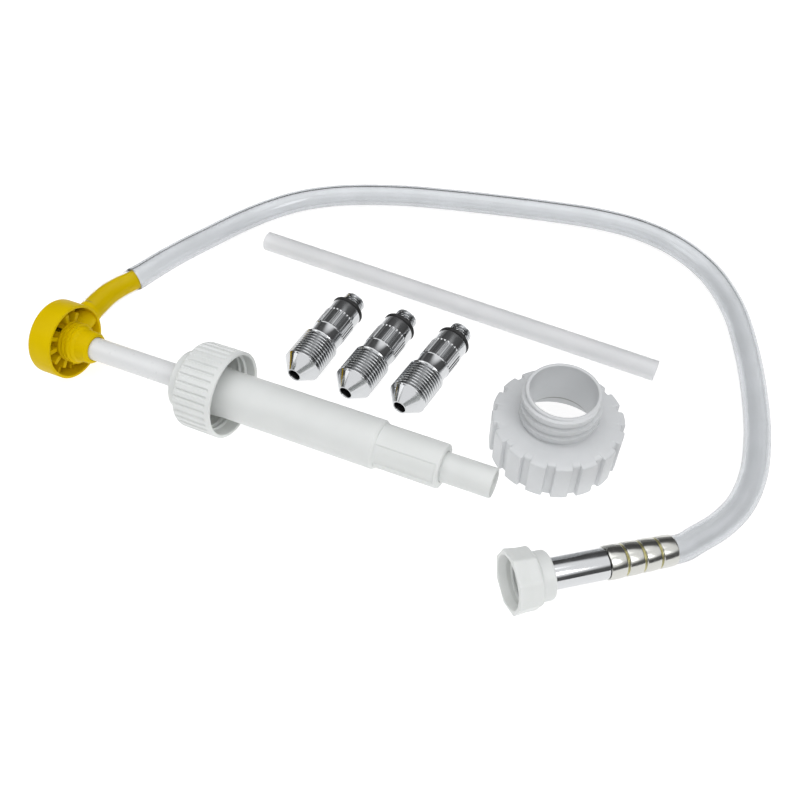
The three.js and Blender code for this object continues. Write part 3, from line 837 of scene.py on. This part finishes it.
filler_outline = dense(rounded(filler_corners), 7.3, 25.0, 0.16, inner=9.95, outer=10.05)
filler_outline = dense(filler_outline, 54.9, 61.0, 0.15, inner=5.95, outer=6.05)
filler_outline = dense(filler_outline, KNURL[0], KNURL[1], 0.4, inner=8.85, outer=8.95)
fillers = []
for number, degrees in enumerate(FILLER_HEADINGS, start=1):
    heading = math.radians(degrees)
    direction = Vector((math.cos(heading), math.sin(heading), 0))
    nose = centre_of(f"adapter_o_ring_{number}") - direction * FILLER_O_RING * MM
    place = place_along(nose, direction)
    if fillers:
        filler = bpy.data.objects.new(f"chromed_filler_{number}", fillers[0].data)
        bpy.context.scene.collection.objects.link(filler)
        filler.matrix_world = place
    else:
        name = f"chromed_filler_{number}"
        # the oil hole's bore is marked so that the chrome paints shade inside it
        filler = turned(name, place, filler_outline, 280, filler_tool, painted_shade_radius=OIL_HOLE)
    fillers.append(filler)
    stands_for(filler, f"filler_adapter_{number}", "plunger")
    o_ring_outline = []
    for a in [TURN * i / 20 for i in range(20)]:
        station = FILLER_O_RING - O_RING_HALF_WIDTH * math.cos(a)
        o_ring_outline.append((station, O_RING_RADIUS + O_RING_HALF_HEIGHT * math.sin(a)))
    o_ring = turned(f"black_o_ring_{number}", place, o_ring_outline, 72)
    stands_for(o_ring, f"adapter_o_ring_{number}", "plunger")

# %% [markdown]
# The pump head has too many features for one spun outline: an open drum, twelve ribs, a boss with its
# lock thread and a curved spout with a web under it. Each is made alone and then they are fused with
# exact booleans, as one moulding. The drum and boss are spun, the spout is swept and the ribs are thin
# blocks with their top edges rounded.

# %% Fusing shapes
def fused(name, first, others):
    """One mesh from several overlapping closed ones."""
    for other in others:
        modifier = first.modifiers.new("fuse", "BOOLEAN")
        modifier.operation = "UNION"
        modifier.solver = "EXACT"
        modifier.object = other
    graph = bpy.context.evaluated_depsgraph_get()
    mesh = bpy.data.meshes.new_from_object(first.evaluated_get(graph))
    first.modifiers.clear()
    first.data = mesh
    first.name = name
    for other in others:
        bpy.data.objects.remove(other)
    mesh.shade_smooth()
    mesh.set_sharp_from_angle(angle=SHARP)
    return first


BLOCK_FACES = ((0, 1, 3, 2), (4, 6, 7, 5), (0, 4, 5, 1), (2, 3, 7, 6), (0, 2, 6, 4), (1, 5, 7, 3))


def blocks(name, boxes, edge, place):
    """Thin blocks (start, end, inner, outer, width, angle) round local X, with rounded edges."""
    vertices, faces = [], []
    for start, end, inner, outer, width, angle in boxes:
        turn = Matrix.Rotation(angle, 3, "X")
        first = len(vertices)
        for x in (start, end):
            for y in (-width / 2, width / 2):
                for z in (inner, outer):
                    vertices.append(turn @ Vector((x, y, z)) * MM)
        faces += [[first + corner for corner in corners] for corners in BLOCK_FACES]
    mesh = bpy.data.meshes.new(name)
    mesh.from_pydata(vertices, [], faces)
    piece = bpy.data.objects.new(name, mesh)
    bpy.context.scene.collection.objects.link(piece)
    piece.matrix_world = place
    bevel = piece.modifiers.new("edges", "BEVEL")
    bevel.width = edge * MM
    bevel.segments = 3
    return piece


# %% [markdown]
# The drum is open towards the collar, and its palm face is slightly rounded at the edge. The ribs come
# in two heights, with a low step beside the boss, and the hose goes over the far end of the spout.

# %% Pump head
HEAD_BACK, HEAD_RIM, HEAD_RADIUS = -106.6, -93.2, 19.25
HEAD_FLOOR = -104.6
RIBS = 12
SPOUT_BORE = 2.9 * MM
RIB_FRONT = -98.9
BOSS_FRONT = -80.6
SPOUT_LINE = [
    (-100.2, 3, 0),
    (-100.2, 12, 0.2),
    (-100.2, 21.5, 0.4),
    (-100, 29, 0.5),
    (-99.3, 36.5, 0.5),
    (-97, 44, 0.3),
    (-93.6, 52, -0.1),
]
drum_corners = [
    (HEAD_BACK + 0.1, 0.0),
    (HEAD_BACK, 12.0, 3.0),
    (HEAD_BACK, HEAD_RADIUS, 1.8),
    (HEAD_RIM, HEAD_RADIUS, 0.35),
    (HEAD_RIM, HEAD_RADIUS - 1.4, 0.35),
    (HEAD_FLOOR, HEAD_RADIUS - 1.6, 0.8),
    (HEAD_FLOOR, 0.0),
]
drum = turned("drum", PUMP, rounded(drum_corners, loop=False), 160, loop=False)
boss_corners = [
    (HEAD_FLOOR - 1, 5.0),
    (HEAD_FLOOR - 1, 9.3),
    (-88.8, 9.3, 0.5),
    (-87.4, 8.3, 0.5),
    (BOSS_FRONT - 1.4, 8.1, 0.3),
    (BOSS_FRONT, 7.2, 0.3),
    (BOSS_FRONT, 6.0, 0.3),
    (-95.6, 6.0),
    (-95.6, 2.6),
    (-101.0, 2.6),
    (-101.0, 5.0),
]
head_thread = raised_thread(-96.4, -86.7, 2.4, 1.0, 1.4, inner=9.2, outer=9.4, flank=0.2)
boss_outline = dense(rounded(boss_corners), -97, -89, 0.2, inner=9.2)
boss = turned("boss", PUMP, boss_outline, 120, head_thread)
spout_line = smooth_line([PUMP @ (Vector(point) * MM) for point in SPOUT_LINE], 1.5 * MM)
spout = swept("spout", spout_line, spout_radius, lambda distance: SPOUT_BORE, 48)
rib_angles = [TURN * (i + 0.5) / RIBS for i in range(RIBS)]
rib_boxes = [
    (HEAD_FLOOR - 0.8, RIB_FRONT, 6.5, HEAD_RADIUS - 0.7, 1.8, angle) for angle in rib_angles
]
ribs = blocks("ribs", rib_boxes, 0.3, PUMP)
step_boxes = [(HEAD_FLOOR - 0.6, RIB_FRONT + 2.6, 6.3, 14.6, 2.2, angle) for angle in rib_angles]
steps = blocks("rib_steps", step_boxes, 0.3, PUMP)
web_box = (HEAD_FLOOR - 0.9, -100.2, 8.0, HEAD_RADIUS - 0.75, 9.0, -math.pi / 2)
web = blocks("web", [web_box], 0.3, PUMP)
head = fused("yellow_pump_head", drum, [boss, ribs, steps, web, spout])
stands_for(head, "pump_head", "plunger")

# %% [markdown]
# # Finishes
# Every finish is one Principled shader. Numbers that are the same all over are set straight on it,
# and what varies comes from noise in the piece's own space. To keep the sums readable, a socket is
# wrapped so that it can be added, multiplied and subtracted, and each sum adds its Math node.

# %% Wrapped sockets
class Value:
    """A node's output that takes part in sums."""

    def __init__(self, finish, socket):
        self.finish = finish
        self.socket = socket

    def _sum(self, operation, first, second):
        return self.finish.node("ShaderNodeMath", {"operation": operation}, {0: first, 1: second})

    def __add__(self, other):
        return self._sum("ADD", self, other)

    def __sub__(self, other):
        return self._sum("SUBTRACT", self, other)

    def __rsub__(self, other):
        return self._sum("SUBTRACT", other, self)

    def __mul__(self, other):
        return self._sum("MULTIPLY", self, other)

    __radd__ = __add__
    __rmul__ = __mul__


class Finish:
    """A material with one Principled shader; constants are set on its sockets."""

    def __init__(self, name, **constants):
        self.material = bpy.data.materials.new(name)
        self.material.use_nodes = True
        self.tree = self.material.node_tree
        self.shader = self.tree.nodes["Principled BSDF"]
        for socket, value in constants.items():
            self.shader.inputs[socket.replace("_", " ")].default_value = value

    def node(self, kind, settings=(), inputs=(), output=0):
        made_node = self.tree.nodes.new(kind)
        for name, value in dict(settings).items():
            if name == "stops":
                for stop, (position, grey) in zip(made_node.color_ramp.elements, value):
                    stop.position = position
                    stop.color = (grey, grey, grey, 1)
            else:
                setattr(made_node, name, value)
        for name, value in dict(inputs).items():
            self.feed(made_node.inputs[name], value)
        return Value(self, made_node.outputs[output])

    def feed(self, socket, value):
        if isinstance(value, Value):
            self.tree.links.new(value.socket, socket)
        else:
            socket.default_value = value

    def drive(self, **sockets):
        for name, value in sockets.items():
            self.feed(self.shader.inputs[name.replace("_", " ")], value)
        return self

    def space(self, stretch=(1, 1, 1)):
        here = self.node("ShaderNodeTexCoord", output=3)
        return self.node("ShaderNodeMapping", inputs={"Vector": here, "Scale": stretch})

    def noise(self, size, detail=2.0, stretch=(1, 1, 1)):
        """Noise from 0 to 1 with features of a size in millimetres."""
        inputs = {"Vector": self.space(stretch), "Scale": 1 / (size * MM), "Detail": detail}
        return self.node("ShaderNodeTexNoise", inputs=inputs)

    def ramp(self, value, low, high):
        stops = [(low, 0.0), (high, 1.0)]
        return self.node("ShaderNodeValToRGB", {"stops": stops}, {"Fac": value})

    def mix(self, factor, first, second):
        first = (*first, 1) if isinstance(first, tuple) else first
        inputs = {0: factor, 6: first, 7: (*second, 1)}
        return self.node("ShaderNodeMix", {"data_type": "RGBA"}, inputs, output=2)

    def depth(self):
        """How deep a tool has cut here, in millimetres."""
        return self.node("ShaderNodeAttribute", {"attribute_name": "cut_depth"}, output=2)

    def bump(self, height, strength, distance):
        inputs = {"Height": height, "Strength": strength, "Distance": distance * MM}
        return self.node("ShaderNodeBump", inputs=inputs)


# %% [markdown]
# Moulded plastic is never one flat colour. The melt leaves faint clouds of tone, the mould's polish
# varies, and the skin has a very fine grain. A little light also scatters under the skin of the white
# pieces, which softens their shadows, so they get a small, constant subsurface weight.

# %% Moulded plastics
def moulded(name, light, dark, roughness, grain=0.25, **constants):
    finish = Finish(name, **constants)
    clouds = finish.noise(14, 3)
    polish = finish.noise(2.2, 3)
    skin_grain = finish.noise(grain, 2)
    colour = finish.mix(finish.ramp(clouds, 0.3, 0.7), light, dark)
    height = skin_grain * 0.6 + polish * 0.4
    return finish.drive(
        Base_Color=colour,
        Roughness=polish * 0.16 + (roughness - 0.08),
        Normal=finish.bump(height, 0.25, 0.06),
    )


WHITE_PLASTIC = moulded(
    "white_moulding", (0.725, 0.743, 0.731), (0.695, 0.713, 0.70), 0.42,
    Subsurface_Weight=0.15, Subsurface_Radius=(0.005, 0.005, 0.0045), Subsurface_Scale=1.0,
)
ROD_PLASTIC = moulded(
    "drawn_white_rod", (0.745, 0.755, 0.758), (0.715, 0.725, 0.73), 0.3, 0.4,
    Subsurface_Weight=0.06, Subsurface_Radius=(0.003, 0.003, 0.003), Subsurface_Scale=1.0,
)
RING_PLASTIC = moulded("grey_white_moulding", (0.635, 0.648, 0.66), (0.605, 0.62, 0.63), 0.46)
YELLOW_PLASTIC = moulded(
    "yellow_moulding", (0.70, 0.505, 0.0), (0.655, 0.46, 0.0), 0.4, Specular_IOR_Level=0.04
)
print("plastics made")

# %% [markdown]
# Polyethylene pipe lets light through but scatters it, so the dip tube is partly transmissive with a
# rough inside. The hose is clear PVC: nearly all the light goes through, and what shows is the bend of
# light in its two walls. Only the outer wall is tinted, or the tint would count twice. Where the hose
# grips the spout it is thinned with Alpha, as there is no air gap there and the yellow shows plainly.
# Faint extrusion lines run along both tubes.

# %% Tubes
def extruded(name, light, dark, roughness, line_depth, plain_bore=False, **constants):
    finish = Finish(name, **constants)
    clouds = finish.noise(18, 2)
    lines = finish.noise(1.2, 2, stretch=(0.02, 1, 1))
    colour = finish.mix(finish.ramp(clouds, 0.35, 0.65), light, dark)
    if plain_bore:
        on_bore = finish.ramp(finish.depth() * -1.0, 0.0, 1.0)
        colour = finish.mix(on_bore, colour, (1, 1, 1))
    return finish.drive(
        Base_Color=colour,
        Roughness=clouds * 0.06 + (roughness - 0.03),
        Normal=finish.bump(lines, 0.3, line_depth),
    )


MILKY_TUBE = extruded(
    "milky_polyethylene", (0.90, 0.905, 0.915), (0.86, 0.87, 0.88), 0.35, 0.08,
    Transmission_Weight=0.35, IOR=1.5,
)
CLEAR_HOSE = extruded(
    "clear_pvc", (0.60, 0.62, 0.645), (0.55, 0.57, 0.59), 0.09, 0.03, plain_bore=True,
    Transmission_Weight=1.0, IOR=1.45,
)
on_spout = CLEAR_HOSE.ramp(CLEAR_HOSE.depth(), 0.0, 1.0)
CLEAR_HOSE.drive(Alpha=on_spout * -0.8 + 1.0)
print("tubes made")

# %% [markdown]
# Plated metal is judged by its reflections. Turning leaves fine rings round the axis, and handling
# leaves smudges that raise the roughness here and there. The roots of threads and knurls, which the
# cut_depth mark finds, are painted dark and made a little rougher: the dark is painted shade. The crimped
# ferrule is zinc-plated, and its yellow passivation shows where the dies didn't rub it off: in the
# grooves and round their edges.

# %% Metals and rubber
def plated(name, light, root_shade, roughness, root_depth):
    finish = Finish(name, Metallic=1.0)
    smudges = finish.noise(6, 3)
    rings = finish.noise(0.5, 2, stretch=(1, 0.03, 0.03))
    roots = finish.ramp(finish.depth() * (1 / root_depth), 0.45, 1.0)
    # roots of threads and knurls and marked bore walls are mixed towards a dark colour: painted shade
    colour = finish.mix(roots * 0.75, light, root_shade)
    return finish.drive(
        Base_Color=colour,
        Roughness=finish.ramp(smudges, 0.45, 0.85) * 0.14 + roots * 0.18 + roughness,
        Normal=finish.bump(rings, 0.12, 0.02),
    )


CHROME = plated("bright_chrome", (0.58, 0.59, 0.6), (0.03, 0.03, 0.03), 0.09, 1.0)
BRIGHT_STEEL = plated("bright_steel_parts", (0.55, 0.56, 0.57), (0.2, 0.2, 0.2), 0.2, 1.0)


def passivated_zinc():
    finish = Finish("passivated_zinc", Metallic=1.0)
    patches = finish.noise(3.5, 4)
    scuffs = finish.noise(0.7, 3, stretch=(0.15, 1, 1))
    groove = finish.ramp(finish.depth() * 1.1, 0.12, 0.75)
    tint = finish.ramp(groove * 0.9 + patches * 0.55, 0.45, 1.0)
    bare = finish.mix(tint, (0.56, 0.56, 0.53), (0.5, 0.47, 0.24))
    colour = finish.mix(groove * finish.ramp(scuffs, 0.35, 0.7) * 0.5, bare, (0.2, 0.18, 0.08))
    return finish.drive(
        Base_Color=colour,
        Roughness=groove * 0.22 + patches * 0.14 + 0.1,
        Normal=finish.bump(scuffs, 0.3, 0.05),
    )


ZINC = passivated_zinc()


def rubber(name, colour, bloom):
    finish = Finish(name, IOR=1.45)
    powder = finish.noise(1.5, 4)
    return finish.drive(
        Base_Color=finish.mix(finish.ramp(powder, 0.4, 0.8), colour, bloom),
        Roughness=powder * 0.2 + 0.42,
        Normal=finish.bump(finish.noise(0.3, 2), 0.3, 0.04),
    )


BLACK_RUBBER = rubber("black_nitrile", (0.008, 0.008, 0.008), (0.02, 0.02, 0.021))
GREY_RUBBER = rubber("grey_sealing_rubber", (0.30, 0.30, 0.29), (0.36, 0.36, 0.35))

# %% [markdown]
# Each material slot of the record has one finish. The pieces made here take theirs by slot, and so do
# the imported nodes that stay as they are: the piston, the valve parts and the hose's gripped end, which
# nobody sees until the pump or the fitting is opened.

# %% Giving out the finishes
SLOT_FINISHES = {
    "yellow_plastic": YELLOW_PLASTIC,
    "white_plastic": WHITE_PLASTIC,
    "rod_plastic": ROD_PLASTIC,
    "adapter_plastic": RING_PLASTIC,
    "milky_plastic": MILKY_TUBE,
    "clear_hose": CLEAR_HOSE,
    "chrome_plate": CHROME,
    "zinc_steel": ZINC,
    "bright_steel": BRIGHT_STEEL,
    "black_rubber": BLACK_RUBBER,
    "grey_rubber": GREY_RUBBER,
}
slot_of = {part["node"]: part["material_slot"] for part in frame["record"]["subparts"]}
for node, packed in frame["nodes"].items():
    target = made.get(node, packed)
    target.data.materials.clear()
    target.data.materials.append(SLOT_FINISHES[slot_of[node]].material)
kept = sorted(set(frame["nodes"]) - set(made))
print("packed nodes that keep their shape:", kept)

# %% [markdown]
# The fitting's pieces ride on the same body as the hose. This cell only gives the hose's length, in metres.

# %% The hose's length
round(length_of(hose_line), 3)

# %% [markdown]
# # Floor and light
# The floor is a plain pale sheet that glows a little, as a lit table does, which keeps it white and
# fills the undersides.

# %% Floor
bpy.ops.mesh.primitive_plane_add(size=6, location=(0, 0, -0.0002))
floor = bpy.context.object
floor.name = "floor"
floor_finish = Finish("pale_floor", Roughness=0.75, Specular_IOR_Level=0.1)
floor_finish.shader.inputs["Base Color"].default_value = (0.4, 0.4, 0.4, 1)
floor_finish.shader.inputs["Emission Color"].default_value = (1, 1, 1, 1)
floor_finish.shader.inputs["Emission Strength"].default_value = 0.83
floor.data.materials.append(floor_finish.material)

# %% [markdown]
# Plated metal needs something dark to reflect as well as something bright, or it looks like grey
# paint. So the sky has a bright top, a dark belt below it and a slightly paler horizon. The bright top
# leans towards the front, and three soft panels give the highlights.

# %% Sky and lamps
SKY_TOP = (0.105, -0.236, 0.966)
world = bpy.data.worlds.new("studio")
bpy.context.scene.world = world
world.use_nodes = True
nodes, links = world.node_tree.nodes, world.node_tree.links
direction_node = nodes.new("ShaderNodeTexCoord")
height = nodes.new("ShaderNodeVectorMath")
height.operation = "DOT_PRODUCT"
height.inputs[1].default_value = SKY_TOP
belt = nodes.new("ShaderNodeValToRGB")
SKY = [(0.0, 0.2), (0.04, 0.1), (0.09, 0.07), (0.54, 0.11), (0.68, 1.0), (1.0, 1.0)]
elements = belt.color_ramp.elements
while len(elements) < len(SKY):
    elements.new(0.5)
for element, (position, grey) in zip(elements, SKY):
    element.position = position
    element.color = (grey, grey, grey * 1.01, 1)
background = nodes["Background"]
links.new(direction_node.outputs["Generated"], height.inputs[0])
links.new(height.outputs["Value"], belt.inputs["Fac"])
links.new(belt.outputs["Color"], background.inputs["Color"])
background.inputs["Strength"].default_value = 1.12

LAMPS = [
    # name, place, size across and along, power
    ("overhead_panel", (0.05, 0.1, 1.3), (1.0, 1.0), 2.4),
    ("left_panel", (-1.1, -0.5, 0.9), (0.6, 0.8), 2),
    ("right_panel", (1.0, -0.4, 1.15), (0.5, 0.6), 3.5),
]
for name, where, size, power in LAMPS:
    lamp_data = bpy.data.lights.new(name, "AREA")
    lamp_data.shape = "RECTANGLE"
    lamp_data.size, lamp_data.size_y = size
    lamp_data.energy = power
    lamp = bpy.data.objects.new(name, lamp_data)
    bpy.context.scene.collection.objects.link(lamp)
    lamp.location = where
    lamp.rotation_euler = Vector(where).to_track_quat("Z", "Y").to_euler()
bpy.context.scene.view_settings.view_transform = "Standard"
print("lamps:", [lamp[0] for lamp in LAMPS])
